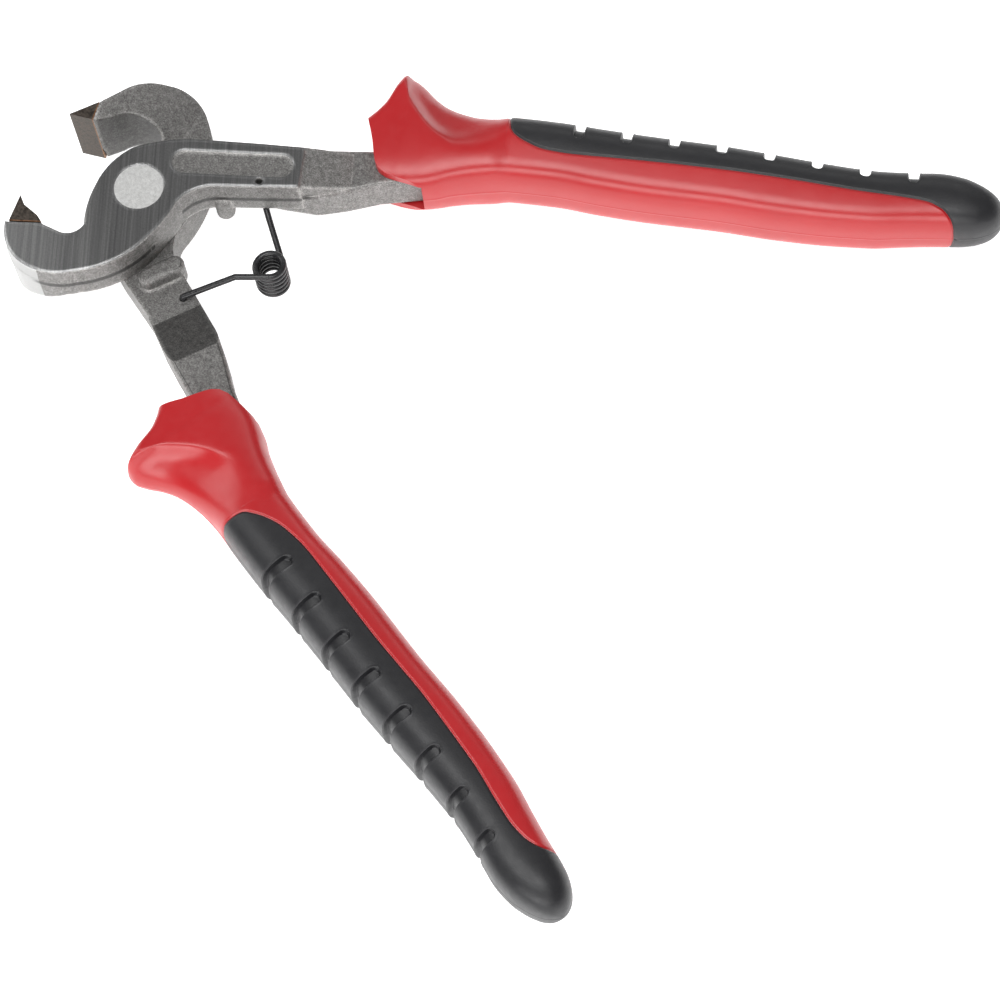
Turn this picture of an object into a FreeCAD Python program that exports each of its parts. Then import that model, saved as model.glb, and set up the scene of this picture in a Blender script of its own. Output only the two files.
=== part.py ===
import FreeCAD, Part
import math
import os

# Tile nippers, in millimetres. +Z is the pivot axis, +X runs from the pivot towards the handles
# half-way between them, and Z = 0 is the plane of the rear ground face and the rivet's rear end.
# Everything on the front lever is drawn where it is. The rear lever is the same kind of forging
# turned over about X, so its pieces are drawn in the front lever's frame and then flipped.

doc = FreeCAD.newDocument("tile_nippers")
V = FreeCAD.Vector

SIZES = [
    ("head_thickness", 18.0),
    ("lap_level", 9.05),
    ("plate_half", 4.5),
    ("draft_angle", 4.0),
    ("jaw_width", 16.5),
    ("carbide_inset", 0.1),
    ("tang_thickness", 9.0),
    ("boss_radius", 2.0),
    ("boss_height", 6.8),
    ("rivet_shaft_radius", 4.0),
    ("rivet_head_radius", 5.25),
    ("rivet_head_depth", 1.8),
    ("rivet_clearance", 0.05),
    ("spring_hole_radius", 0.8),
    ("panel_radius", 2.7),
    ("panel_depth", 0.4),
    ("wire_radius", 0.67),
    ("coil_radius", 3.0),
    ("coil_pitch", 1.5),
]
sheet = doc.addObject("Spreadsheet::Sheet", "sizes")
for row, (alias, value) in enumerate(SIZES, start=1):
    sheet.set("A%d" % row, alias)
    sheet.set("B%d" % row, str(value))
    sheet.setAlias("B%d" % row, alias)
doc.recompute()
SIZE = dict(SIZES)

HEAD = SIZE["head_thickness"]
MID = HEAD / 2
LAP = SIZE["lap_level"]
TANG_LOW = MID - SIZE["tang_thickness"] / 2
JAW_BACK = HEAD - SIZE["jaw_width"]
REACH = 60.0

# The grip's own axis: it starts at the collar and leans away from the middle line.
GRIP_START = (36.0, 31.0)
GRIP_ANGLE = 24.3

FLIP = FreeCAD.Placement(V(0, 0, HEAD), FreeCAD.Rotation(V(1, 0, 0), 180))


def bind(obj, prop, text):
    obj.setExpression(prop, text)


def sketch(name, start, steps, level=None):
    """A closed outline. A step of one point is a line, a step of two is an arc by way of the first."""
    outline = doc.addObject("Sketcher::SketchObject", name)
    here = V(start[0], start[1], 0)
    for step in steps:
        points = [V(x, y, 0) for x, y in step]
        if len(points) == 1:
            outline.addGeometry(Part.LineSegment(here, points[0]), False)
        else:
            outline.addGeometry(Part.Arc(here, points[0], points[1]), False)
        here = points[-1]
    if level:
        bind(outline, "Placement.Base.z", level)
    return outline


def lines(*points):
    return [(point,) for point in points]


def extrude(name, outline, height, taper=0.0):
    solid = doc.addObject("Part::Extrusion", name)
    solid.Base = outline
    solid.DirMode = "Custom"
    solid.Dir = V(0, 0, 1)
    solid.Solid = True
    solid.TaperAngle = taper
    bind(solid, "LengthFwd", height)
    return solid


def fuse(name, pieces):
    solid = doc.addObject("Part::MultiFuse", name)
    solid.Shapes = pieces
    solid.Refine = True
    return solid


def cut(name, base, tool):
    solid = doc.addObject("Part::Cut", name)
    solid.Base = base
    solid.Tool = tool
    return solid


def common(name, pieces):
    solid = doc.addObject("Part::MultiCommon", name)
    solid.Shapes = pieces
    return solid


def rounded(name, base, radius, wanted):
    """Round every edge of base that wanted() picks."""
    doc.recompute()
    solid = doc.addObject("Part::Fillet", name)
    solid.Base = base
    solid.Edges = [
        (number, radius, radius)
        for number, edge in enumerate(base.Shape.Edges, start=1)
        if wanted(edge)
    ]
    return solid


def box(name, low, high):
    solid = doc.addObject("Part::Box", name)
    solid.Length = high[0] - low[0]
    solid.Width = high[1] - low[1]
    solid.Height = high[2] - low[2]
    solid.Placement.Base = V(*low)
    return solid


def along_grip(u, v):
    """From distances along and across the grip's axis to the front lever's X and Y."""
    turn = math.radians(GRIP_ANGLE)
    x = GRIP_START[0] + u * math.cos(turn) - v * math.sin(turn)
    y = GRIP_START[1] + u * math.sin(turn) + v * math.cos(turn)
    return (x, y)


# --- outlines of the two heads -------------------------------------------------------------

# From the mouth, round the pivot, out along the shank and back to the outside of the jaw.
MOUTH_END = (-5.3, -13.3)
NECK_END = (8.6, -9.0)
DISC_STEPS = [
    ((-7.3, -9.2), (-8.6, -4.0)),
    ((-8.7, 2.0), (-6.6, 7.7)),
    ((-1.5, 12.5), (6.0, 16.9)),
    ((16.4, 21.8),),
    ((25.3, 25.8),),
    ((29.6, 16.6),),
    ((19.7, 11.1),),
    ((14.3, 8.2),),
    ((10.8, 5.2), (9.2, 1.0)),
    ((9.3, -4.0), NECK_END),
]
FRONT_HEAD = {
    "jaw": [
        ((4.6, -18.7), (-0.4, -23.7)),
        ((-6.5, -27.2), (-12.6, -27.4)),
        ((-17.9, -24.4), (-20.3, -20.7)),
        ((-19.29, -20.32),),
        ((-13.29, -17.22),),
        ((-8.4, -16.9),),
        ((-6.1, -15.6), MOUTH_END),
    ],
    "carbide": [(-20.75, -14.04), (-18.9, -15.5), (-14.9, -16.25), (-13.4, -17.0), (-19.4, -20.1)],
    "braze": [(-13.4, -17.0), (-19.4, -20.1), (-19.29, -20.32), (-13.29, -17.22)],
    "spring_hole": (21.2, 13.9),
}
REAR_HEAD = {
    "jaw": [
        ((4.6, -18.7), (-1.0, -24.9)),
        ((-5.6, -27.0), (-11.0, -25.8)),
        ((-15.0, -23.0), (-17.6, -18.6)),
        ((-19.76, -13.46),),
        ((-18.66, -9.26),),
        ((-15.9, -12.8),),
        ((-12.6, -16.2), (-8.2, -16.4)),
        ((-6.1, -15.4), MOUTH_END),
    ],
    "carbide": [(-23.79, -7.85), (-18.9, -9.2), (-20.0, -13.4)],
    "braze": [(-18.9, -9.2), (-20.0, -13.4), (-19.76, -13.46), (-18.66, -9.26)],
    "spring_hole": (19.2, 13.9),
}
HEADS = {"front": FRONT_HEAD, "rear": REAR_HEAD}
OTHER = {"front": "rear", "rear": "front"}


def head_outline(name, side, level, mirrored=False):
    flip = -1 if mirrored else 1
    steps = [tuple((x, flip * y) for x, y in step) for step in DISC_STEPS + HEADS[side]["jaw"]]
    return sketch(name, (MOUTH_END[0], flip * MOUTH_END[1]), steps, level)


# --- levers --------------------------------------------------------------------------------

# The back of each jaw slopes from the lap face down to the full jaw width near the edge.
RAMP_ROOT = (-2.5, LAP)
RAMP_TIP = (-19.4, JAW_BACK)


def upright_prism(name, points, angle, half_width):
    """A profile drawn in distance and height, swept sideways across the direction given."""
    profile = doc.addObject("Sketcher::SketchObject", name + "_profile")
    corners = [V(x, z, 0) for x, z in points]
    for here, there in zip(corners, corners[1:] + corners[:1]):
        profile.addGeometry(Part.LineSegment(here, there), False)
    turn = FreeCAD.Rotation(V(0, 0, 1), angle)
    stand = FreeCAD.Rotation(V(1, 0, 0), 90)
    profile.Placement = FreeCAD.Placement(V(0, 0, 0), turn * stand)
    solid = doc.addObject("Part::Extrusion", name)
    solid.Base = profile
    solid.DirMode = "Normal"
    solid.LengthFwd = half_width
    solid.LengthRev = half_width
    solid.Solid = True
    return solid


def jaw_ramp(name):
    points = [RAMP_ROOT, (REACH, LAP), (REACH, -5.0), (-REACH, -5.0), (-REACH, JAW_BACK), RAMP_TIP]
    return upright_prism(name, points, 0, REACH)


def head_plate(side):
    """The ground plate, drafted both ways from the parting line round its edge."""
    upper = head_outline(side + "_plate_upper_outline", side, "sizes.lap_level + sizes.plate_half")
    lower = head_outline(side + "_plate_lower_outline", side, "sizes.lap_level + sizes.plate_half")
    top = extrude(side + "_plate_upper", upper, "sizes.head_thickness - sizes.lap_level - sizes.plate_half")
    top.TaperAngle = -SIZE["draft_angle"]
    bottom = extrude(side + "_plate_lower", lower, "sizes.plate_half")
    bottom.Dir = V(0, 0, -1)
    bottom.TaperAngle = -SIZE["draft_angle"] / 2
    return [top, bottom]


def jaw_block(side):
    """The part of the jaw behind the plate, clear of the other lever and sloped at the back."""
    whole = extrude(
        side + "_block_whole",
        head_outline(side + "_block_outline", side, "sizes.head_thickness - sizes.jaw_width"),
        "sizes.jaw_width - 4.0",
    )
    jaw_side = box(side + "_jaw_side", (-REACH, -REACH, -1), (REACH, -8.0, HEAD + 1))
    block = common(side + "_block_side", [whole, jaw_side])
    other = head_outline(side + "_other_outline", OTHER[side], None, mirrored=True)
    room = doc.addObject("Part::Offset2D", side + "_other_room")
    room.Source = other
    room.Value = 0.5
    keep_out = extrude(side + "_keep_out", room, "sizes.lap_level")
    block = cut(side + "_block_clear", block, keep_out)
    return cut(side + "_block", block, jaw_ramp(side + "_jaw_ramp"))


SHANK_RAMP_ANGLE = 33.0
SHANK_RAMP = (26.7, 39.0)
STEP_RAMP = ((32.8, 17.4), (37.5, 16.0), (45.6, 13.0))


def shank(side):
    """The forged shank and the tang inside the grip, as thick as each other."""
    tang_outer = [(8.6, 3.8), (20, 5.9), (30, 8.0), (50, 8.0), (75, 6.0), (100, 3.4)]
    tang_inner = [(100, -2.2), (75, -1.0), (50, 0.8), (30, 0.2), (20, -2.2), (8.6, -4.6)]
    outer = [along_grip(u, v) for u, v in tang_outer]
    inner = [along_grip(u, v) for u, v in tang_inner]
    edge = [(21.5, 12.6), (26.0, 15.0), (31.3, 18.2), (36.6, 22.5), (41.5, 27.2)]
    steps = lines((23.4, 26.9), (28.5, 29.9), (36.6, 34.3), *outer)
    steps.append((along_grip(102.8, 0.6), inner[0]))
    steps += lines(*inner[1:], *reversed(edge), (15.4, 21.4))
    blank = extrude(
        side + "_shank_blank",
        sketch(side + "_shank_outline", (15.4, 21.4), steps, "%g" % TANG_LOW),
        "sizes.tang_thickness",
    )
    blank = rounded(
        side + "_shank_rounded", blank, 1.1, lambda edge: abs(edge.tangentAt(edge.FirstParameter).z) < 0.1
    )
    under = [(SHANK_RAMP[0] - 12, -1), (SHANK_RAMP[0] - 12, LAP), (SHANK_RAMP[0], LAP),
             (SHANK_RAMP[1], TANG_LOW), (SHANK_RAMP[1], -1)]
    under_cut = upright_prism(side + "_shank_ramp", under, SHANK_RAMP_ANGLE, REACH)
    return cut(side + "_shank", blank, under_cut)


def step_down(side):
    """The slope from the ground plate down to the shank."""
    start, foot = 29.0, 10.5
    points = [(start, foot), (start, STEP_RAMP[0][1])] + list(STEP_RAMP) + [(STEP_RAMP[-1][0], foot)]
    slope = upright_prism(side + "_step_profile", points, 29.0, REACH)
    outline = sketch(
        side + "_step_outline", (22.0, 24.1),
        lines((29.5, 28.8), (36.2, 33.0), (41.2, 27.9), (36.2, 22.9), (31.1, 18.5), (27.2, 15.9), (22.0, 24.1)),
        "sizes.lap_level",
    )
    limit = extrude(side + "_step_limit", outline, "sizes.head_thickness - sizes.lap_level")
    return common(side + "_step", [slope, limit])


def boss(side):
    """The lump on the inner edge that stops the levers when they close."""
    out = V(14.24, 9.1, 0)
    back = V(10.9, 14.3, 0)
    across = (out - back).normalize()
    side_way = V(-across.y, across.x, 0) * SIZE["boss_radius"]
    tip = out + across * SIZE["boss_radius"]
    tail = back - across * SIZE["boss_radius"]
    corner = [back + side_way, out + side_way, out - side_way, back - side_way]
    pair = [(point.x, point.y) for point in corner]
    steps = [(pair[1],), ((tip.x, tip.y), pair[2]), (pair[3],), ((tail.x, tail.y), pair[0])]
    outline = sketch(side + "_boss_outline", pair[0], steps, "%g" % (MID - 3.4))
    lump = extrude(side + "_boss_blank", outline, "sizes.boss_height")
    return rounded(side + "_boss", lump, 0.9, lambda edge: abs(edge.tangentAt(edge.FirstParameter).z) < 0.1)


def cylinder(name, radius, height, centre):
    solid = doc.addObject("Part::Cylinder", name)
    bind(solid, "Radius", radius)
    solid.Height = height
    solid.Placement.Base = V(*centre)
    return solid


def rivet_shape(name, clearance):
    """Shaft with a sunk head at each end; clearance widens it all round for the bore it turns in."""
    grow = " + " + clearance if clearance else ""
    shaft = cylinder(name + "_shaft", "sizes.rivet_shaft_radius" + grow, HEAD, (0, 0, 0))
    heads = []
    for end, level in (("rear", 0.0), ("front", HEAD)):
        cone = doc.addObject("Part::Cone", name + "_" + end)
        wide = "sizes.rivet_head_radius" + grow
        narrow = "sizes.rivet_shaft_radius" + grow
        bind(cone, "Radius1", wide)
        bind(cone, "Radius2", narrow)
        bind(cone, "Height", "sizes.rivet_head_depth")
        if end == "front":
            cone.Placement = FreeCAD.Placement(V(0, 0, level), FreeCAD.Rotation(V(1, 0, 0), 180))
        heads.append(cone)
    return fuse(name, [shaft] + heads)


def panel(side):
    """The shallow slot-shaped panel in the ground face, left blank."""
    ends = [V(4.9, 9.9, 0), V(23.2, 19.1, 0)]
    along = (ends[1] - ends[0]).normalize()
    aside = V(-along.y, along.x, 0) * SIZE["panel_radius"]
    points = [ends[0] + aside, ends[1] + aside, ends[1] + along * SIZE["panel_radius"],
              ends[1] - aside, ends[0] - aside, ends[0] - along * SIZE["panel_radius"]]
    xy = [(point.x, point.y) for point in points]
    outline = sketch(
        side + "_panel_outline", xy[0], [(xy[1],), (xy[2], xy[3]), (xy[4],), (xy[5], xy[0])],
        "sizes.head_thickness - sizes.panel_depth",
    )
    return extrude(side + "_panel", outline, "sizes.panel_depth + 1.0")


def lever(side, label):
    hole = HEADS[side]["spring_hole"]
    blank = fuse(
        side + "_blank",
        head_plate(side) + [jaw_block(side), shank(side), step_down(side), boss(side)],
    )
    clearance = "sizes.rivet_clearance" if side == "rear" else ""
    tools = fuse(side + "_tools", [
        rivet_shape(side + "_rivet_bore", clearance),
        cylinder(side + "_spring_bore", "sizes.spring_hole_radius", HEAD, (hole[0], hole[1], 0)),
        panel(side),
    ])
    solid = cut(side + "_lever", blank, tools)
    return place(solid, label, side)


def place(solid, label, side):
    solid.Label = label
    if side == "rear":
        solid.Placement = FLIP
    return solid


# --- cutting edges --------------------------------------------------------------------------

def edge_piece(side, kind, label):
    points = HEADS[side][kind]
    outline = sketch(side + "_" + kind + "_outline", points[0], lines(*points[1:], points[0]),
                     "sizes.head_thickness - sizes.jaw_width")
    blank = extrude(side + "_" + kind + "_blank", outline, "sizes.jaw_width - sizes.carbide_inset")
    solid = cut(side + "_" + kind, blank, jaw_ramp(side + "_" + kind + "_ramp"))
    return place(solid, label, side)


# --- spring ---------------------------------------------------------------------------------

# The wire leaves the coil for the front lever at its low end and for the rear lever at its top.
COIL_CENTRE = (32.0, 0.3)
COIL_LOW = 5.0
FRONT_LEG_ANGLE = 48.8
REAR_LEG_ANGLE = -59.7
END_TURN = 0.95
LOWER_TURNS = 5.0 - END_TURN + (FRONT_LEG_ANGLE - REAR_LEG_ANGLE) / 360
JOINT_SWELL = 0.04
JOINT_GAP = 0.1
STRAIGHT_ON = 1.0
POINTS_PER_TURN = 20


def ball(name, centre, swell):
    joint = doc.addObject("Part::Sphere", name)
    bind(joint, "Radius", "sizes.wire_radius + %g" % swell)
    joint.Placement.Base = centre
    return joint


def wire(name, points):
    """Straight lengths of round wire with a ball at every bend."""
    pieces = []
    for number, (here, there) in enumerate(zip(points, points[1:])):
        run = there - here
        rod = doc.addObject("Part::Cylinder", "%s_rod_%d" % (name, number))
        bind(rod, "Radius", "sizes.wire_radius")
        rod.Height = run.Length
        rod.Placement = FreeCAD.Placement(here, FreeCAD.Rotation(V(0, 0, 1), run))
        pieces.append(rod)
    for number, bend in enumerate(points[1:-1]):
        pieces.append(ball("%s_bend_%d" % (name, number), bend, 0))
    return pieces


def leg(name, end_angle, end_level, heading, bends):
    """A leg that runs straight on from the coil's end before it bends; heading is 1 for the top end."""
    turn = math.radians(end_angle)
    radius = SIZE["coil_radius"]
    end = V(COIL_CENTRE[0] + radius * math.cos(turn), COIL_CENTRE[1] + radius * math.sin(turn), end_level)
    onward = V(math.sin(turn), -math.cos(turn), SIZE["coil_pitch"] / (2 * math.pi * radius)) * heading
    onward.normalize()
    joint = ball(name + "_joint", end + onward * (JOINT_GAP / 2), JOINT_SWELL)
    joint.Placement.Rotation = FreeCAD.Rotation(V(0, 0, 1), onward)
    return [joint] + wire(name, [end + onward * JOINT_GAP, end + onward * STRAIGHT_ON] + bends)


def coil(name, turns, low, start_angle):
    """A left-handed stretch of coil, from its low end up."""
    radius = SIZE["coil_radius"]
    stops = round(turns * POINTS_PER_TURN)
    along = []
    for number in range(stops + 1):
        done = turns * number / stops
        turn = -2 * math.pi * done
        along.append(V(radius * math.cos(turn), radius * math.sin(turn), SIZE["coil_pitch"] * done))
    curve = Part.BSplineCurve()
    curve.interpolate(along)
    path = doc.addObject("Part::Feature", name + "_path")
    path.Shape = curve.toShape()
    size = SIZE["wire_radius"]
    halves = [((0, size), (-size, 0)), ((0, -size), (size, 0))]
    ring = sketch(name + "_section", (size, 0), halves)
    ring.Placement = FreeCAD.Placement(V(radius, 0, 0), FreeCAD.Rotation(V(1, 0, 0), 90))
    body = doc.addObject("Part::Sweep", name)
    body.Sections = [ring]
    body.Spine = (path, ["Edge1"])
    body.Solid = True
    body.Frenet = True
    body.Placement = FreeCAD.Placement(
        V(COIL_CENTRE[0], COIL_CENTRE[1], low), FreeCAD.Rotation(V(0, 0, 1), start_angle)
    )
    return body


def spring_front():
    """All turns but the top one, and the leg that hooks up into the front lever from behind."""
    hook_x, hook_y = FRONT_HEAD["spring_hole"]
    body = coil("spring_coil_turns", LOWER_TURNS, COIL_LOW, FRONT_LEG_ANGLE)
    front = leg("front_leg", FRONT_LEG_ANGLE, COIL_LOW, -1, [
        V(hook_x + 2.6, hook_y - 2.4, 7.4), V(hook_x, hook_y, 8.3), V(hook_x, hook_y, 15.5),
    ])
    solid = fuse("spring_front", [body] + front)
    solid.Label = "spring_coil"
    return solid


def spring_rear():
    """The top turn of the same wire and the leg that hooks down into the rear lever."""
    hook_x, hook_y = REAR_HEAD["spring_hole"][0], -REAR_HEAD["spring_hole"][1]
    low = COIL_LOW + SIZE["coil_pitch"] * LOWER_TURNS
    body = coil("spring_top_turn", END_TURN, low, REAR_LEG_ANGLE + 360 * END_TURN)
    rear = leg("rear_leg", REAR_LEG_ANGLE, low + SIZE["coil_pitch"] * END_TURN, 1, [
        V(27.4, -5.6, 12.7), V(hook_x, hook_y, 9.7), V(hook_x, hook_y, 2.5),
    ])
    solid = fuse("spring_rear", [body] + rear)
    solid.Label = "spring_rear_leg"
    return solid


# --- grips ----------------------------------------------------------------------------------

# Along the grip: outer edge, inner edge and half thickness.
GRIP_SECTIONS = [
    (-1.2, 9.6, -5.0, 6.6),
    (3.0, 14.0, -5.6, 7.4),
    (7.5, 21.8, -6.2, 7.9),
    (12.0, 18.4, -6.2, 8.3),
    (18.0, 15.0, -4.6, 8.6),
    (30.0, 13.3, -2.2, 8.9),
    (42.0, 12.7, -2.6, 8.9),
    (58.0, 11.4, -4.3, 8.9),
    (74.0, 10.4, -5.4, 8.8),
    (88.0, 9.0, -6.3, 8.7),
    (100.0, 7.9, -6.4, 8.3),
    (112.0, 8.0, -5.4, 7.9),
    (122.0, 8.5, -4.1, 7.5),
    (128.5, 7.2, -3.1, 6.4),
    (132.6, 4.6, -1.0, 4.4),
    (134.6, 2.6, 1.0, 1.6),
]
BLACK_EDGE = [
    (30.0, 12.3), (33.5, 6.0), (37.0, 4.0), (42.0, 3.2), (62.0, 2.2), (83.0, 0.6), (98.0, 0.0),
    (112.0, 0.5), (118.5, 0.1), (122.3, -2.2), (124.0, -5.5), (124.0, -12.0),
]


def in_grip(solid):
    """Stand a solid drawn along the grip's axis in its place on the front lever."""
    turn = FreeCAD.Rotation(V(0, 0, 1), GRIP_ANGLE)
    solid.Placement = FreeCAD.Placement(V(GRIP_START[0], GRIP_START[1], 0), turn)
    return solid


def grip_blank(side):
    stand = FreeCAD.Rotation(V(1, 1, 1), 120)
    sections = []
    for number, (along, outer, inner, half) in enumerate(GRIP_SECTIONS):
        ring = doc.addObject("Sketcher::SketchObject", "%s_grip_section_%d" % (side, number))
        across = (outer - inner) / 2
        middle = V((outer + inner) / 2, MID, 0)
        major, minor = (V(across, 0, 0), V(0, half, 0)) if across > half else (V(0, half, 0), V(-across, 0, 0))
        ring.addGeometry(Part.Ellipse(middle + major, middle + minor, middle), False)
        ring.Placement = FreeCAD.Placement(V(along, 0, 0), stand)
        sections.append(ring)
    blank = doc.addObject("Part::Loft", side + "_grip_blank")
    blank.Sections = sections
    blank.Solid = True
    return blank


def front_trim(side):
    """What the slanted front end of the collar leaves away."""
    points = [(-10, 30), (-1.0, 30), (-1.0, 9.9), (1.8, -0.8), (8.3, -6.0), (8.3, -20), (-10, -20)]
    outline = sketch(side + "_trim_outline", points[0], lines(*points[1:], points[0]))
    return extrude(side + "_trim", outline, "sizes.head_thickness")


def black_zone(side):
    points = BLACK_EDGE + [(150.0, -12.0), (150.0, 30.0), (30.0, 30.0)]
    outline = sketch(side + "_black_outline", points[0], lines(*points[1:], points[0]))
    return extrude(side + "_black_zone", outline, "sizes.head_thickness")


def grip(side):
    shell = in_grip(cut(side + "_grip_trimmed", grip_blank(side), front_trim(side)))
    hollow = cut(side + "_grip_hollow", shell, doc.getObject(side + "_shank_rounded"))
    zone = in_grip(black_zone(side))
    red = cut(side + "_red", hollow, zone)
    black = common(side + "_black", [hollow, zone])
    return [place(red, "red_grip_" + side, side), place(black, "black_grip_" + side, side)]


# --- build ------------------------------------------------------------------------------------

def pivot_rivet():
    solid = rivet_shape("rivet", "")
    solid.Label = "pivot_rivet"
    return solid


NODES = [
    lever("front", "lever_front"),
    lever("rear", "lever_rear"),
    edge_piece("front", "carbide", "carbide_front"),
    edge_piece("rear", "carbide", "carbide_rear"),
    edge_piece("front", "braze", "braze_front"),
    edge_piece("rear", "braze", "braze_rear"),
    pivot_rivet(),
    spring_front(),
    spring_rear(),
] + grip("front") + grip("rear")
doc.recompute()

for item in doc.Objects:
    if "Invalid" in item.State or "Error" in item.State:
        raise RuntimeError("%s could not be built" % item.Name)

os.makedirs("parts", exist_ok=True)
for item in NODES:
    shape = item.Shape
    if shape.isNull() or not shape.isValid():
        raise RuntimeError("%s has no sound shape" % item.Label)
    shape.exportStep("parts/%s.step" % item.Label)
    print("%-18s %9.1f mm3, %d solid(s)" % (item.Label, shape.Volume, len(shape.Solids)))
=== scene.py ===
"""Tile nippers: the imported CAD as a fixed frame, with moulded grips, finishes, floor, light and camera."""
import math

import bmesh
import bpy
import numpy as np
from mathutils import Matrix, Vector


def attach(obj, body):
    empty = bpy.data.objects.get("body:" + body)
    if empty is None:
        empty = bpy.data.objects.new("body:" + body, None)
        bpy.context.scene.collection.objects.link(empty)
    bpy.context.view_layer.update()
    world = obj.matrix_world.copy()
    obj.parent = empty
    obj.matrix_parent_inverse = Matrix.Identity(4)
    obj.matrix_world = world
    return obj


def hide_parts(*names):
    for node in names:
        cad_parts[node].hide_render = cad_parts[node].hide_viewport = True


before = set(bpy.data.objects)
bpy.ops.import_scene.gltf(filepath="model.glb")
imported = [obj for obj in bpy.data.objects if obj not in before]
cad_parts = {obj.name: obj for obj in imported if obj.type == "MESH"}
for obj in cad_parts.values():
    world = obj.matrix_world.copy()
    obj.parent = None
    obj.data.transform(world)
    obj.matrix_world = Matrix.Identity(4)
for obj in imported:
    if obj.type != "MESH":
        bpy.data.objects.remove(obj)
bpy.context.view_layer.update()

MM = 0.001
THICKNESS = 18.0     # over the head plate; the nippers lie on z = 0
MID = THICKNESS / 2  # height of the mid-plane, about which a lever is turned over

# ---------------------------------------------------------------------------------- grip shape, in mm

# The grip's own axis starts here on the front lever and leans outwards; u runs along it, v across.
GRIP_START = (36.0, 31.0)
GRIP_ANGLE = math.radians(24.3)

# Half of a section as a control polygon, from the outer mid-line over the top to the inner mid-line.
# Each row: u, then ten (v, height over the mid-plane) pairs: wall, wall, shoulder, valley, ridge,
# ridge again, top, crease, wall, wall.
COLLAR = [
    (-3.0, [
        (8.0, 0), (8.0, 3.5), (7.7, 5.6), (6.8, 6.3), (5.6, 6.5), (4.6, 6.6), (1.0, 6.6), (-3.6, 6.2),
        (-4.9, 3.6), (-5.0, 0)]),
    (0.0, [
        (10.5, 0), (10.5, 4.0), (10.1, 6.2), (9.2, 6.9), (7.9, 7.2), (6.9, 7.3), (2.0, 7.3), (-4.0, 6.7),
        (-5.3, 4.0), (-5.4, 0)]),
    (3.0, [
        (14.4, 0), (14.3, 4.0), (13.8, 6.5), (12.9, 7.4), (11.7, 7.65), (10.6, 7.75), (3.0, 7.7),
        (-4.2, 7.0), (-5.6, 4.2), (-5.7, 0)]),
    (5.0, [
        (19.6, 0), (19.4, 3.6), (18.8, 6.2), (18.0, 7.3), (16.7, 7.9), (15.4, 8.05), (4.0, 8.0), (-4.4, 7.2),
        (-5.8, 4.3), (-5.9, 0)]),
    (6.4, [
        (22.0, 0), (21.8, 3.2), (21.0, 5.8), (19.8, 7.2), (18.2, 8.1), (16.8, 8.25), (5.0, 8.15),
        (-4.5, 7.3), (-5.9, 4.4), (-6.0, 0)]),
    (8.0, [
        (21.9, 0), (21.4, 2.9), (19.6, 5.0), (16.9, 6.5), (14.2, 8.3), (13.1, 8.45), (4.5, 8.3),
        (-4.6, 7.35), (-6.0, 4.4), (-6.1, 0)]),
    (10.0, [
        (20.7, 0), (20.0, 2.8), (17.6, 4.7), (14.3, 6.0), (11.4, 8.4), (10.4, 8.55), (3.6, 8.35),
        (-4.6, 7.4), (-5.9, 4.4), (-6.05, 0)]),
    (12.5, [
        (18.4, 0), (17.7, 2.8), (14.9, 4.7), (11.3, 5.95), (8.6, 8.4), (7.6, 8.6), (2.6, 8.4), (-4.2, 7.4),
        (-5.8, 4.4), (-5.9, 0)]),
    (15.5, [
        (16.3, 0), (15.7, 2.9), (13.0, 4.9), (9.2, 6.1), (6.2, 8.4), (5.2, 8.6), (1.8, 8.45), (-3.5, 7.45),
        (-5.2, 4.5), (-5.4, 0)]),
    (19.0, [
        (14.9, 0), (14.4, 3.0), (12.1, 5.2), (8.2, 6.35), (5.0, 8.25), (3.4, 8.6), (1.1, 8.45), (-2.6, 7.5),
        (-4.0, 4.7), (-4.2, 0)]),
    (22.6, [
        (14.0, 0), (13.6, 3.1), (11.8, 5.6), (8.6, 6.9), (5.6, 8.3), (3.4, 8.75), (0.9, 8.5), (-1.8, 7.6),
        (-3.2, 4.8), (-3.4, 0)]),
    (27.0, [
        (13.4, 0), (13.2, 3.4), (12.0, 6.1), (9.6, 7.8), (6.4, 8.8), (3.6, 8.95), (1.0, 8.6), (-1.2, 7.7),
        (-2.5, 4.9), (-2.6, 0)]),
]
# Each row: u, outer edge, inner edge, half thickness, and how round the section is (0 boxy, 1 round).
HANDLE = [
    (31.0, 13.2, -2.1, 8.75, 0.00),
    (40.0, 12.9, -2.3, 8.80, 0.00),
    (50.0, 12.1, -3.4, 8.80, 0.00),
    (60.0, 11.4, -4.2, 8.75, 0.00),
    (75.0, 10.6, -4.8, 8.65, 0.00),
    (88.0, 9.4, -5.8, 8.50, 0.05),
    (98.0, 8.4, -6.1, 8.30, 0.12),
    (107.0, 7.9, -5.9, 8.05, 0.25),
    (115.0, 8.3, -5.0, 7.75, 0.45),
    (121.0, 8.8, -4.4, 7.55, 0.60),
    (125.5, 8.3, -4.1, 7.25, 0.80),
    (128.5, 7.35, -3.7, 6.75, 1.00),
    (130.8, 6.25, -2.9, 6.00, 1.00),
    (132.4, 5.2, -2.0, 5.00, 1.00),
    (133.5, 4.1, -0.9, 3.75, 1.00),
    (134.1, 3.2, 0.1, 2.45, 1.00),
    (134.45, 2.3, 1.0, 0.95, 1.00),
    (134.55, 1.65, 1.55, 0.10, 1.00),
]
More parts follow.
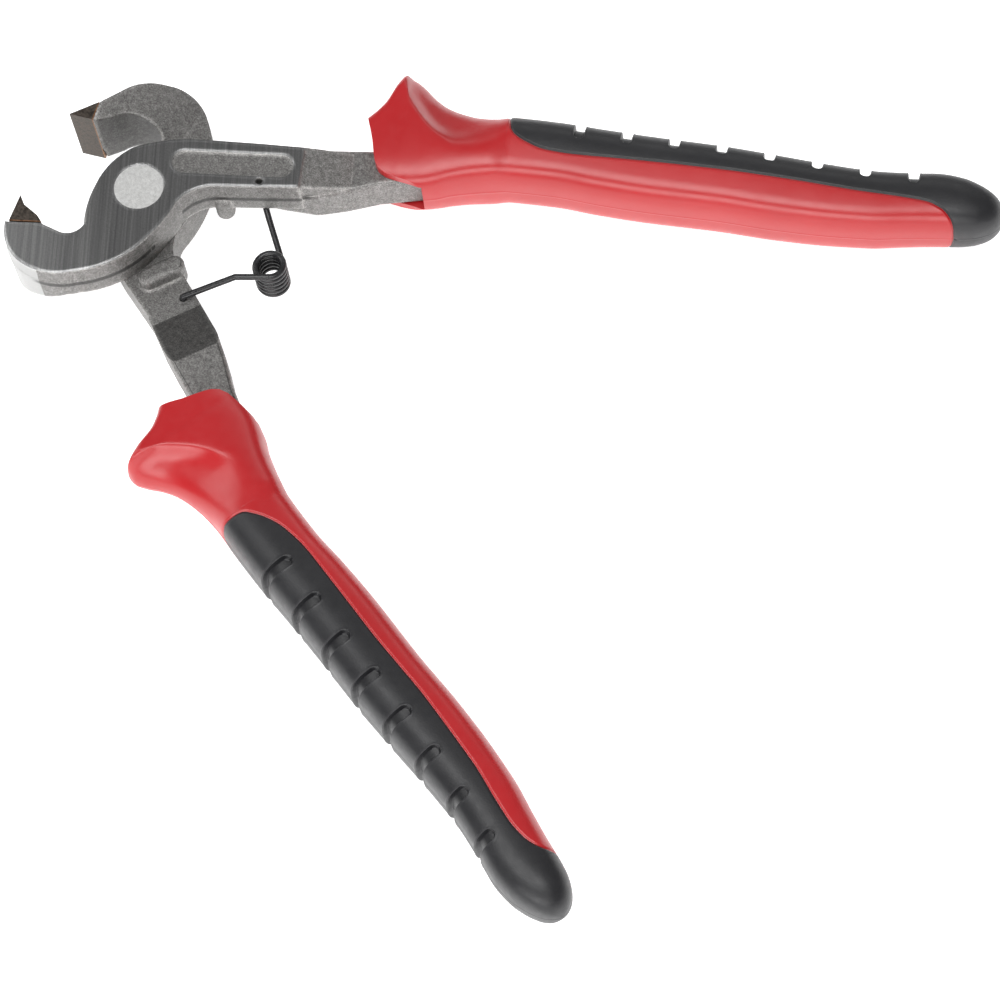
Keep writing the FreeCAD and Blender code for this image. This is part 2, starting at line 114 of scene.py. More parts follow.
# The two kinds of section that HANDLE blends, in halves of the width and of the thickness.
BOXY = [
    (1, 0), (1, 0.42), (0.90, 0.80), (0.56, 1.00), (0.24, 1.04), (-0.06, 1.01), (-0.40, 0.955),
    (-0.78, 0.885), (-1.0, 0.52), (-1, 0),
]
ROUND = [
    (1, 0), (1, 0.42), (0.88, 0.80), (0.52, 0.98), (0.22, 1.03), (0, 1.05), (-0.32, 1.02),
    (-0.74, 0.88), (-1.0, 0.48), (-1, 0),
]
GRIP_FRONT = COLLAR[0][0]
GRIP_END = HANDLE[-1][0]
OUTER = 0.0                    # tau, the place round a section, at the outer mid-line
INNER = float(len(BOXY) - 1)   # and at the inner one

# The line where the red and the black plastic meet, on the upper face of each lever's grip. The two grips
# show opposite faces of the moulding, and the line does not run quite alike on them.
BLACK_START = 29.5
BLACK_END = 124.9
MEET_START = [(29.5, 14.0), (29.75, 11.6), (30.5, 8.3), (32.0, 6.6)]
MEET_END = [(121.3, -1.1), (123.3, -2.8), (124.4, -4.3), (124.9, -5.0)]
MEET = {
    "front": MEET_START + [
        (34.0, 5.5), (38.0, 4.1), (45.0, 3.5), (60.0, 3.3), (75.0, 2.9), (90.0, 2.0), (104.0, 0.9),
        (113.0, 0.5), (118.0, 0.1),
    ] + MEET_END,
    "rear": MEET_START + [
        (34.0, 5.0), (38.0, 3.1), (45.0, 1.8), (52.0, 1.5), (60.0, 1.2), (68.0, 0.9), (76.0, 0.3),
        (85.0, -0.3), (101.0, -0.5), (110.0, 0.1), (115.0, 0.3), (119.0, -0.2),
    ] + MEET_END,
}
# Eight cross notches in the black plastic, from the parting line to near the red.
NOTCHES = 8
NOTCH_FIRST = 44.8
NOTCH_PITCH = 10.04
NOTCH_WIDTH = 2.5
NOTCH_DEPTH = 1.2
NOTCH_SOFT = 0.36        # width over which a notch's wall rounds off
NOTCH_FROM_MEET = 3.7    # a notch stops this far short of the red
LIP_HEIGHT = 0.05        # the low lip round a notch, how far outside it and how wide
LIP_OUT = 0.12
LIP_REACH = 0.3

# The sunk line where the two plastics meet, and the hair of flash along the mid-plane.
SINK_DEPTH = 0.26
SINK_REACH = 0.42
FLASH_HEIGHT = 0.05
FLASH_REACH = 0.2

# What the grips are cut with at the front: a trim across the thumb flange, and the slot for the tang.
FRONT_TRIM = [
    (-9, 30), (-0.9, 30), (-0.75, 10.4), (-0.2, 8.6), (1.2, 4.7), (2.2, 0.4), (2.7, -1.3), (3.6, -2.7),
    (5.2, -3.7), (7.5, -4.3), (10.5, -4.9), (13.0, -5.6), (14.6, -9), (-9, -9),
]
TRIM_HALF = 20
TANG_SLOT = [(-9, 12), (2.5, 9), (13.0, 4.7), (13.0, -9), (-9, -9)]
SLOT_HALF = 4.62

# How fine the skins are: where the spacing of the rows changes along the grip, and what it changes to.
ROWS_COLLAR = [
    (GRIP_FRONT, 0.5), (4.0, 0.3), (18.0, 0.4), (28.8, 0.25), (29.4, 0.06), (30.4, 0.12), (32.0, 0.3),
    (40.0, 0.5),
]
ROWS_BUTT = [
    (120.5, 0.3), (123.0, 0.12), (BLACK_END, 0.4), (128.0, 0.3), (131.0, 0.2), (133.0, 0.1), (134.0, 0.05),
]
ROWS_WALL = 0.09         # spacing across a notch's walls, on its floor and between notches
ROWS_FLOOR = 0.25
ROWS_BETWEEN = 0.55
WALL_OUT = 0.45          # how far the fine rows go outside and inside a notch's edge
WALL_IN = 0.55
COLUMNS = {"red": 78, "black": 66}
NEAR_MEET = [0.10, 0.20, 0.32, 0.5]   # distances of the first places from the meeting line
NEAR_MID = [0.09, 0.2]                # and from the mid-plane
END_SHARE = 0.3          # the most of a narrow row that they may take up
SHARP_FROM = {"red": 38, "black": 60}  # degrees between faces from which an edge stays sharp

# Steps of the sums: along a section, along the meeting line, and to either side for a normal.
MEET_STEPS = 361
LENGTH_STEPS = 541
LINE_STEPS = 900
LINE_WINDOW = 3.0
FAR = 9.0
PROBE = 0.02
STEP_ROUND = 0.03
STEP_ALONG = 0.15
TINY_HOP = 1e-4
TINY = 1e-9


# ---------------------------------------------------------------------------------- curves

def smooth_through(xs, ys, at):
    """Monotone cubic interpolation of the columns of ys, so that nothing overshoots."""
    xs, ys, at = np.asarray(xs, float), np.asarray(ys, float), np.asarray(at, float)
    flat = ys.reshape(len(xs), -1)
    step = np.diff(xs)[:, None]
    slope = np.diff(flat, axis=0) / step
    tangent = np.zeros_like(flat)
    before, after = slope[:-1], slope[1:]
    weight_before, weight_after = 2 * step[1:] + step[:-1], step[1:] + 2 * step[:-1]
    same_way = before * after > 0
    with np.errstate(divide="ignore", invalid="ignore"):
        mean = (weight_before + weight_after) / (weight_before / before + weight_after / after)
    tangent[1:-1] = np.where(same_way, mean, 0)
    tangent[0], tangent[-1] = slope[0], slope[-1]
    k = np.clip(np.searchsorted(xs, at, side="right") - 1, 0, len(xs) - 2)
    f = ((at - xs[k]) / step[k, 0])[:, None]
    h = step[k]
    value = (
        (1 + 2 * f) * (1 - f) ** 2 * flat[k] + f * (1 - f) ** 2 * h * tangent[k]
        + f * f * (3 - 2 * f) * flat[k + 1] + f * f * (f - 1) * h * tangent[k + 1]
    )
    return value.reshape((len(at),) + ys.shape[1:])


def bell(distance, width):
    return np.clip(1 - (distance / width) ** 2, 0, 1) ** 2


def smooth_step(x):
    x = np.clip(x, 0, 1)
    return x * x * (3 - 2 * x)


def section_polygons(us):
    """The control polygon right round the grip at each u."""
    stations, polygons = [], []
    for u, pairs in COLLAR:
        stations.append(u)
        polygons.append(pairs)
    for u, outer, inner, half_height, roundness in HANDLE:
        middle, across = (outer + inner) / 2, (outer - inner) / 2
        shape = np.array(BOXY) * (1 - roundness) + np.array(ROUND) * roundness
        stations.append(u)
        polygons.append([(middle + across * x, half_height * y) for x, y in shape])
    half = smooth_through(stations, np.array(polygons, float), us)
    # The mid-line points are pushed out so that the smooth section still reaches them.
    half[:, 0, 0] = 1.5 * half[:, 0, 0] - 0.5 * half[:, 1, 0]
    half[:, -1, 0] = 1.5 * half[:, -1, 0] - 0.5 * half[:, -2, 0]
    mirrored = half[:, -2:0:-1] * np.array([1, -1])
    return np.concatenate([half, mirrored], axis=1)


def on_section(polygons, tau):
    """Points of the closed cubic B-spline of each row's polygon; tau has one row of places per polygon."""
    count = polygons.shape[1]
    base = np.floor(tau).astype(int)
    f = (tau - base)[..., None]
    rows = np.arange(len(polygons))[:, None]
    p = [polygons[rows, (base + k - 1) % count] for k in range(4)]
    return (
        (1 - f) ** 3 * p[0] + (3 * f**3 - 6 * f**2 + 4) * p[1]
        + (-3 * f**3 + 3 * f**2 + 3 * f + 1) * p[2] + f**3 * p[3]
    ) / 6


def with_u(us, section):
    """Section points (v and height) with each row's u put in front."""
    first = np.broadcast_to(us[:, None, None], section.shape[:2] + (1,))
    return np.concatenate([first, section], axis=2)


def on_grip(us, tau):
    """Points of the smooth grip at the given places along and round it."""
    return with_u(us, on_section(section_polygons(us), tau))


def meeting_tau(us, polygons, side):
    """Where round each section the two plastics meet."""
    fine = np.tile(np.linspace(OUTER, INNER, MEET_STEPS), (len(us), 1))
    v = on_section(polygons, fine)[..., 0]
    wanted = smooth_through([u for u, _ in MEET[side]], [[across] for _, across in MEET[side]], us)[:, 0]
    tau = np.empty(len(us))
    for i, u in enumerate(us):
        if u <= BLACK_START:
            tau[i] = OUTER
        elif u >= BLACK_END:
            tau[i] = INNER
        else:
            tau[i] = np.interp(-wanted[i], -v[i], fine[i])
    return tau


def lengths_round(polygons, tau):
    """Distance of each place from the outer mid-line, and of the inner mid-line from it."""
    fine = np.tile(np.linspace(OUTER, INNER, LENGTH_STEPS), (len(polygons), 1))
    hops = np.linalg.norm(np.diff(on_section(polygons, fine), axis=1), axis=2)
    total = np.concatenate([np.zeros((len(hops), 1)), np.cumsum(hops, axis=1)], axis=1)
    length = np.array([np.interp(tau[i], fine[i], total[i]) for i in range(len(tau))])
    return length, total[:, -1:]


# ---------------------------------------------------------------------------------- grip skins

def rows_along():
    """Places along the grip, closer together round the notches, the start of the black and the end."""
    marks = list(ROWS_COLLAR)
    edge = NOTCH_WIDTH / 2
    for k in range(NOTCHES):
        centre = NOTCH_FIRST + k * NOTCH_PITCH
        marks += [
            (centre - edge - WALL_OUT, ROWS_WALL), (centre - edge + WALL_IN, ROWS_FLOOR),
            (centre + edge - WALL_IN, ROWS_WALL), (centre + edge + WALL_OUT, ROWS_BETWEEN),
        ]
    marks += ROWS_BUTT
    us = []
    for (start, pitch), (end, _) in zip(marks, marks[1:] + [(GRIP_END, 0)]):
        steps = max(1, round((end - start) / pitch))
        us += [start + (end - start) * k / steps for k in range(steps)]
    us.append(GRIP_END)
    us = np.array(us)
    us[np.argmin(abs(us - BLACK_START))] = BLACK_START
    us[np.argmin(abs(us - BLACK_END))] = BLACK_END
    return us


def end_places(near, per_mm, span):
    """Fixed distances from one end of each row, as tau, held back where the row is narrow."""
    limit = span * END_SHARE * np.arange(1, len(near) + 1) / len(near)
    return np.minimum(np.array(near)[None] * per_mm[:, None], limit)


def places_round(low, high, count, from_low, from_high):
    """Even places from low to high in each row, with the given distances from either end put in."""
    span = (high - low)[:, None]
    first = end_places(*from_low, span)
    last = end_places(*from_high, span)
    even = np.linspace(0, 1, count)[None] * (span - first[:, -1:] - last[:, -1:]) + first[:, -1:]
    pieces = [np.zeros_like(span), first[:, :-1], even, span - last[:, -2::-1], span]
    return low[:, None] + np.concatenate(pieces, axis=1)


def smooth_patch(us, polygons, low, high, kind):
    """Places round each section from low to high, the points there, and the smooth surface's normals."""
    probe = on_section(polygons, np.stack([low, low + PROBE, high - PROBE, high], axis=1))
    per_low = PROBE / np.maximum(np.linalg.norm(probe[:, 1] - probe[:, 0], axis=1), TINY_HOP)
    per_high = PROBE / np.maximum(np.linalg.norm(probe[:, 3] - probe[:, 2], axis=1), TINY_HOP)
    near_low, near_high = (NEAR_MID, NEAR_MEET) if kind == "black" else (NEAR_MEET, NEAR_MID)
    tau = places_round(low, high, COLUMNS[kind], (near_low, per_low), (near_high, per_high))
    points = with_u(us, on_section(polygons, tau))
    ahead = np.clip(us + STEP_ALONG, us[0], us[-1])
    behind = np.clip(us - STEP_ALONG, us[0], us[-1])
    along = on_grip(ahead, tau) - on_grip(behind, tau)
    hop = on_section(polygons, tau + STEP_ROUND) - on_section(polygons, tau - STEP_ROUND)
    normal = np.cross(with_u(np.zeros(len(us)), hop), along)
    size = np.linalg.norm(normal, axis=2, keepdims=True)
    normal = normal / np.maximum(size, TINY)
    normal[size[..., 0] < TINY] = (1, 0, 0)
    return tau, points, normal


def meeting_line(side):
    """The line where the two plastics meet, as points from one end of the black to the other."""
    us = np.linspace(BLACK_START, BLACK_END, LINE_STEPS)
    tau = meeting_tau(us, section_polygons(us), side)
    return on_grip(us, tau[:, None])[:, 0]


def gap_to_line(us, points, line):
    """Distance of each point from the meeting line, measured across the section and along the grip."""
    gap = np.full(points.shape[:2], FAR)
    for i, u in enumerate(us):
        near = line[abs(line[:, 0] - u) < LINE_WINDOW]
        if len(near) > 1:
            start, run = near[:-1], near[1:] - near[:-1]
            row = points[i][:, None, :]
            f = np.clip(((row - start) * run).sum(2) / (run * run).sum(1), 0, 1)[..., None]
            gap[i] = np.linalg.norm(row - (start + f * run), axis=2).min(1)
    return gap


def notch_sink(us, length, meet_length):
    """How deep the cross notches are at each point, less the low lip round them."""
    sink = 0.0
    for k in range(NOTCHES):
        centre = NOTCH_FIRST + k * NOTCH_PITCH
        reach = np.interp(centre, us, meet_length) - NOTCH_FROM_MEET - NOTCH_WIDTH / 2
        beyond = np.maximum(length - reach, 0)
        inside = NOTCH_WIDTH / 2 - np.hypot(abs(us - centre)[:, None], beyond)
        sink = sink + NOTCH_DEPTH * smooth_step(inside / NOTCH_SOFT)
        sink = sink - LIP_HEIGHT * bell(inside + LIP_OUT, LIP_REACH)
    return sink


def half_skin(us, kind, side):
    """The top half of one plastic's skin, with the meeting line, the notches and the flash worked in."""
    polygons = section_polygons(us)
    meet = meeting_tau(us, polygons, side)
    outer, inner = np.full_like(meet, OUTER), np.full_like(meet, INNER)
    low, high = (outer, meet) if kind == "black" else (meet, inner)
    tau, points, normal = smooth_patch(us, polygons, low, high, kind)
    length, whole = lengths_round(polygons, tau)
    sink = SINK_DEPTH * bell(gap_to_line(us, points, meeting_line(side)), SINK_REACH)
    if kind == "black":
        meet_length, _ = lengths_round(polygons, meet[:, None])
        sink = sink + notch_sink(us, length, meet_length[:, 0])
    from_mid = np.minimum(length, whole - length)
    flash = FLASH_HEIGHT * bell(from_mid, FLASH_REACH)
    return points - normal * (sink - flash)[..., None]


def lever_point(points, side):
    """From grip coordinates to the shared frame, in metres. The rear lever is the front one turned over."""
    u, v, z = points[..., 0], points[..., 1], points[..., 2]
    x = GRIP_START[0] + u * math.cos(GRIP_ANGLE) - v * math.sin(GRIP_ANGLE)
    y = GRIP_START[1] + u * math.sin(GRIP_ANGLE) + v * math.cos(GRIP_ANGLE)
    if side == "rear":
        return np.stack([x, -y, MID - z], axis=-1) * MM
    return np.stack([x, y, MID + z], axis=-1) * MM


def mesh_object(name, verts, faces):
    """A mesh with doubled points joined, faces without area gone and all faces looking outwards."""
    mesh = bpy.data.meshes.new(name)
    mesh.from_pydata([tuple(map(float, p)) for p in verts], [], faces)
    work = bmesh.new()
    work.from_mesh(mesh)
    bmesh.ops.remove_doubles(work, verts=work.verts, dist=0.002 * MM)
    bmesh.ops.dissolve_degenerate(work, edges=work.edges, dist=0.0001 * MM)
    bmesh.ops.recalc_face_normals(work, faces=work.faces)
    work.to_mesh(mesh)
    work.free()
    obj = bpy.data.objects.new(name, mesh)
    bpy.context.scene.collection.objects.link(obj)
    return obj


def soften(obj, angle):
    obj.data.shade_smooth()
    obj.data.set_sharp_from_angle(angle=math.radians(angle))


def closed_skin(name, kind, side, us):
    """One plastic's closed solid: the skin over and under, and the wall where it meets the other plastic."""
    top = half_skin(us, kind, side)
    under = top * np.array([1, 1, -1])
    if kind == "black":
        ring = np.concatenate([under[:, :0:-1], top], axis=1)
    else:
        ring = np.concatenate([top, under[:, -2::-1]], axis=1)
    rows, around = ring.shape[:2]
    faces = []
    for i in range(rows - 1):
        first = i * around
        for a in range(first, first + around - 1):
            faces.append((a, a + 1, a + around + 1, a + around))
        faces.append((first + around - 1, first, first + around, first + 2 * around - 1))
    if kind == "red":
        faces.append(tuple(range(around))[::-1])
    return mesh_object(name, lever_point(ring.reshape(-1, 3), side), faces)


def prism(name, outline, half_height, side):
    """An upright prism over an outline in grip coordinates, as far under the mid-plane as over it."""
    count = len(outline)
    verts = [(u, v, z) for z in (-half_height, half_height) for u, v in outline]
    faces = [tuple(range(count))[::-1], tuple(range(count, 2 * count))]
    faces += [(k, (k + 1) % count, count + (k + 1) % count, count + k) for k in range(count)]
    return mesh_object(name, lever_point(np.array(verts, float), side), faces)


def carve(obj, tools):
    """Cuts the tools out of the object, and takes them away."""
    for tool in tools:
        change = obj.modifiers.new("carve", "BOOLEAN")
        change.operation = "DIFFERENCE"
        change.solver = "MANIFOLD"
        change.object = tool
        bpy.context.view_layer.objects.active = obj
        with bpy.context.temp_override(object=obj, active_object=obj):
            bpy.ops.object.modifier_apply(modifier=change.name)
        bpy.data.objects.remove(tool)


def make_grips():
    """The red shell and the black cushion of each grip, riding on their levers."""
    us = rows_along()
    grips = []
    for side in ("front", "rear"):
        red = closed_skin("red_shell_" + side, "red", side, us[us <= BLACK_END + TINY])
        carve(red, [
            prism("trim", FRONT_TRIM, TRIM_HALF, side),
            prism("slot", TANG_SLOT, SLOT_HALF, side),
        ])
        black = closed_skin("black_cushion_" + side, "black", side, us[us >= BLACK_START - TINY])
        for obj, word, slot in ((red, "red", "red_plastic"), (black, "black", "black_rubber")):
            soften(obj, SHARP_FROM[word])
            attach(obj, side + "_lever")
            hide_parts("%s_grip_%s" % (word, side))
            grips.append((obj, word))
    return grips


# ---------------------------------------------------------------------------------- materials

FINE_RELIEF = 0.0002     # metres of relief in the finest bumps

# The levers, in metres: the flat ground faces, the trimmed flash and the walls.
GROUND_SLACK = 0.00025   # how far from its height a ground face may be
GROUND_UP = 0.985        # how level it is, as the upward part of its normal
WALL_UP = 0.6            # a wall is steeper than this
EDGE_RADIUS = 0.0012
TRIM_LINE = 0.0130       # height of the dark line where the forging's flash was trimmed off
TRIM_REACH = 0.0004
TRIM_SOFT = 0.0005
TRIM_FROM = -0.0075
TRIM_TO = 0.030
TRIM_END_SOFT = 0.002
JAW_WALL_TO = -0.0075    # the front jaw's outer wall is ground up to here
HOLLOW_TO = -0.004       # the walls of the rear jaw's hollow, painted darker as shade, lie within these
HOLLOW_EDGE = 0.0178
SLOPE_FROM = 0.015       # the slope down to the shank lies past here; its colour gets painted light and shade
STREAK_ANGLE = math.radians(120.3)
STREAK_SIZE = (0.045, 0.00055, 0.020)  # a grinding streak: long, narrow and deep
FORGED_TONES = [(0.36, (0.15, 0.145, 0.140)), (0.50, (0.32, 0.312, 0.302)), (0.64, (0.58, 0.57, 0.55))]
GROUND_TONES = [(0.34, (0.14, 0.14, 0.142)), (0.50, (0.20, 0.20, 0.20)), (0.66, (0.29, 0.29, 0.287))]


def new_material(name):
    mat = bpy.data.materials.new(name)
    mat.use_nodes = True
    tree = mat.node_tree
    tree.nodes.clear()
    out = tree.nodes.new("ShaderNodeOutputMaterial")
    shader = tree.nodes.new("ShaderNodeBsdfPrincipled")
    tree.links.new(shader.outputs[0], out.inputs[0])
    return mat, Net(tree), shader


class Net:
    """Short words for wiring nodes."""

    def __init__(self, tree):
        self.tree = tree
        self.coord = tree.nodes.new("ShaderNodeTexCoord")

    def link(self, source, target):
        self.tree.links.new(source, target)

    def feed(self, socket, value):
        if isinstance(value, bpy.types.NodeSocket):
            self.link(value, socket)
        else:
            socket.default_value = value

    def math(self, operation, a, b=0.0, c=0.0):
        node = self.tree.nodes.new("ShaderNodeMath")
        node.operation = operation
        for socket, value in zip(node.inputs, (a, b, c)):
            self.feed(socket, value)
        return node.outputs[0]

    def product(self, *values):
        """The values multiplied together; for masks, where all of them hold."""
        total = values[0]
        for value in values[1:]:
            total = self.math("MULTIPLY", total, value)
        return total

    def blend(self, a, b, share):
        """The given share of a, and b for the rest."""
        return self.math("ADD", self.product(a, share), self.product(b, 1.0 - share))

    def less(self, value, limit):
        return self.math("LESS_THAN", value, limit)

    def more(self, value, limit):
        return self.math("GREATER_THAN", value, limit)

    def stretched(self, size, turn):
        """Coordinates in which a feature of the given size, turned as given, is one unit long every way."""
        node = self.tree.nodes.new("ShaderNodeMapping")
        node.vector_type = "TEXTURE"
        self.link(self.coord.outputs["Object"], node.inputs["Vector"])
        node.inputs["Rotation"].default_value = turn
        node.inputs["Scale"].default_value = size
        return node.outputs[0]

    def rounded(self, radius):
        """Normals blended round each edge, as on a part that has been tumbled."""
        node = self.tree.nodes.new("ShaderNodeBevel")
        node.samples = 6
        node.inputs["Radius"].default_value = radius
        return node.outputs[0]

    def turned_from(self, normal):
        """How far a normal has been turned from the face's own: 0 on the flat, more towards an edge."""
        own = self.tree.nodes.new("ShaderNodeNewGeometry")
        node = self.tree.nodes.new("ShaderNodeVectorMath")
        node.operation = "DOT_PRODUCT"
        self.link(normal, node.inputs[0])
        self.link(own.outputs["Normal"], node.inputs[1])
        return self.math("SUBTRACT", 1.0, node.outputs["Value"])

    def within(self, value, low, high, soft):
        """1 between low and high, fading to 0 over the soft distance outside."""
        rise = self.grey(value, 0.0, 1.0, low - soft, low)
        fall = self.grey(value, 1.0, 0.0, high, high + soft)
        return self.product(rise, fall)

    def noise(self, scale, detail=4.0, roughness=0.55, vector=None):
        node = self.tree.nodes.new("ShaderNodeTexNoise")
        self.feed(node.inputs["Vector"], vector if vector is not None else self.coord.outputs["Object"])
        node.inputs["Scale"].default_value = scale
        node.inputs["Detail"].default_value = detail
        node.inputs["Roughness"].default_value = roughness
        return node.outputs[0]

    def ramp(self, value, stops):
        """A colour for each value, run through the (place, colour) stops."""
        node = self.tree.nodes.new("ShaderNodeValToRGB")
        self.feed(node.inputs[0], value)
        ramp = node.color_ramp
        while len(ramp.elements) < len(stops):
            ramp.elements.new(0.5)
        for element, (at, colour) in zip(ramp.elements, stops):
            element.position = at
            element.color = tuple(colour) + (1,)
        return node.outputs[0]

    def grey(self, value, low, high, start=0.0, end=1.0):
        """From low to high as the value goes from start to end."""
        node = self.tree.nodes.new("ShaderNodeMapRange")
        self.feed(node.inputs[0], value)
        for socket, number in zip(list(node.inputs)[1:5], (start, end, low, high)):
            socket.default_value = number
        return node.outputs[0]

    def mix(self, factor, a, b, blend="MIX"):
        node = self.tree.nodes.new("ShaderNodeMix")
        node.data_type = "RGBA"
        node.blend_type = blend
        self.feed(node.inputs[0], factor)
        for socket, value in ((node.inputs[6], a), (node.inputs[7], b)):
            if not isinstance(value, bpy.types.NodeSocket):
                value = tuple(value) + (1,)
            self.feed(socket, value)
        return node.outputs[2]

    def shaded(self, colour, factor):
        """A colour made darker or lighter by a factor that varies over the surface."""
        return self.mix(1.0, colour, factor, "MULTIPLY")

    def bump(self, height, strength, distance, normal=None):
        node = self.tree.nodes.new("ShaderNodeBump")
        self.feed(node.inputs["Height"], height)
        node.inputs["Strength"].default_value = strength
        node.inputs["Distance"].default_value = distance
        if normal is not None:
            self.link(normal, node.inputs["Normal"])
        return node.outputs[0]

    def split(self, vector):
        node = self.tree.nodes.new("ShaderNodeSeparateXYZ")
        self.link(vector, node.inputs[0])
        return node.outputs


def even(level):
    return (level, level, level)


def set_numbers(shader, **numbers):
    for name, value in numbers.items():
        shader.inputs[name.replace("_", " ")].default_value = value


def moulded(name, tones, cloud, gloss_scale, rough, grain, strength, **numbers):
    """A moulded plastic: a faint cloud in its colour, a gloss that varies a little and a fine grain."""
    mat, net, shader = new_material(name)
    colour = net.ramp(net.noise(*cloud), [(0.3, tones[0]), (0.7, tones[1])])
    net.link(colour, shader.inputs["Base Color"])
    net.link(net.grey(net.noise(gloss_scale, 3), *rough, 0.35, 0.65), shader.inputs["Roughness"])
    net.link(net.bump(net.noise(*grain), strength, FINE_RELIEF), shader.inputs["Normal"])
    set_numbers(shader, **numbers)
    return mat


def plain_metal(name, tones, rough, scale, metallic, strength=0.3):
    """A metal with one grain for its colour and gloss, and a finer one for its relief."""
    mat, net, shader = new_material(name)
    value = net.noise(scale, 5, 0.6)
    net.link(net.ramp(value, [(0.35, tones[0]), (0.65, tones[1])]), shader.inputs["Base Color"])
    net.link(net.grey(value, *rough, 0.3, 0.7), shader.inputs["Roughness"])
    net.link(net.bump(net.noise(scale * 3, 4), strength, FINE_RELIEF), shader.inputs["Normal"])
    set_numbers(shader, Metallic=metallic)
    return mat


def forged_colour(net, grain, x, up, slope_painted_shading):
    """The forged skin: grainy and blotched, with painted light and shade: the walls lighter than the
    up-facing faces, and the slope's colour scaled by its own painted tone.
    """
    mottle = net.blend(grain, net.noise(900, 4, 0.6), 0.72)
    # Painted light and shade by direction: up-facing faces are made darker than the walls.
    colour = net.shaded(net.ramp(mottle, FORGED_TONES), net.grey(up, 0.66, 0.54, 0.55, 0.95))
    # Painted light and shade on the slope down to the shank: its colour is scaled by the given factor,
    # lighter on one lever and darker on the other.
    slope = net.product(net.within(up, 0.90, 0.955, 0.02), net.more(x, SLOPE_FROM))
    return net.shaded(colour, net.grey(slope, 1.0, slope_painted_shading))


def ground_colour(net, streak, x, y):
    """The ground face: streaked, and lighter towards the jaw's tip."""
    towards_tip = net.math("ADD", x, net.product(y, 0.9))
    return net.shaded(net.ramp(streak, GROUND_TONES), net.grey(towards_tip, 1.9, 0.9, -0.046, -0.010))


def trim_mask(net, wall, x, z, facing_own_handle):
    """The line left where the flash was trimmed off, on the walls that face the other handle."""
    line = net.product(net.within(z, TRIM_LINE - TRIM_REACH, TRIM_LINE + TRIM_REACH, TRIM_SOFT), wall)
    stretch = net.within(x, TRIM_FROM, TRIM_TO, TRIM_END_SOFT)
    return net.product(line, stretch, net.less(facing_own_handle, -0.2))


def steel_material(name, ground_level, ground_jaw, slope_painted_shading, handle_side):
    """Forged steel, with the flat ground face picked out by its height and direction.

    The handle_side is 1 for the lever whose handle is towards +y, and -1 for the other.
    """
    mat, net, shader = new_material(name)
    x, y, z = net.split(net.coord.outputs["Object"])
    normal = net.split(net.coord.outputs["Normal"])
    up = net.math("ABSOLUTE", normal[2])
    wall = net.less(up, WALL_UP)
    level = net.math("COMPARE", z, ground_level, GROUND_SLACK)
    ground = net.product(level, net.more(up, GROUND_UP))
    grain = net.noise(3000, 3, 0.8)
    streak = net.noise(1.0, 5, 0.62, net.stretched(STREAK_SIZE, (0, 0, STREAK_ANGLE)))
    streak = net.blend(streak, grain, 0.66)
    forged = forged_colour(net, grain, x, up, slope_painted_shading)
    colour = net.mix(ground, forged, ground_colour(net, streak, x, y))
    rough = net.mix(ground, even(0.50), even(0.34))
    if ground_jaw:
        jaw = net.product(wall, net.less(x, JAW_WALL_TO), net.less(normal[1], -0.3))
        colour = net.mix(jaw, colour, (0.42, 0.42, 0.415))
        rough = net.mix(jaw, rough, even(0.40))
    else:
        # Painted shade: the walls of the rear jaw's hollow are made about half as light.
        hollow_painted_shade = net.product(wall, net.less(x, HOLLOW_TO), net.less(y, HOLLOW_EDGE))
        colour = net.shaded(colour, net.grey(hollow_painted_shade, 1.0, 0.52))
    edges = net.rounded(EDGE_RADIUS)
    # Painted highlight: near the edges, where the rounded normals turn away from the face's own, the colour
    # is made up to 2.1 times lighter.
    colour = net.shaded(colour, net.grey(net.turned_from(edges), 1.0, 2.1, 0.0, 0.12))
    trim = trim_mask(net, wall, x, z, net.product(normal[1], handle_side))
    colour = net.shaded(colour, net.grey(trim, 1.0, 0.30))
    net.link(colour, shader.inputs["Base Color"])
    net.link(net.grey(ground, 0.62, 0.92), shader.inputs["Metallic"])
    rough = net.math("ADD", rough, net.product(net.math("SUBTRACT", grain, 0.5), 0.3))
    net.link(rough, shader.inputs["Roughness"])
    height = net.product(grain, net.math("SUBTRACT", 1.0, ground))
    height = net.math("ADD", height, net.product(streak, ground, 0.3))
    net.link(net.bump(height, 0.4, 0.00022, edges), shader.inputs["Normal"])
    return mat


def dress(obj, mat):
    obj.data.materials.clear()
    obj.data.materials.append(mat)


def dress_grips(grips):
    mats = {
        "red": moulded(
            "red_plastic_moulded", ((0.43, 0.005, 0.008), (0.48, 0.007, 0.011)), (38, 3, 0.5),
            420, (0.31, 0.37), (900, 2), 0.05, IOR=1.62,
        ),
        "black": moulded(
            "black_rubber_moulded", ((0.011, 0.011, 0.013), (0.017, 0.017, 0.019)), (55, 4),
            600, (0.38, 0.46), (3200, 3), 0.15,
        ),
    }
    for obj, word in grips:
        dress(obj, mats[word])
        obj.data.polygons.foreach_set("material_index", [0] * len(obj.data.polygons))


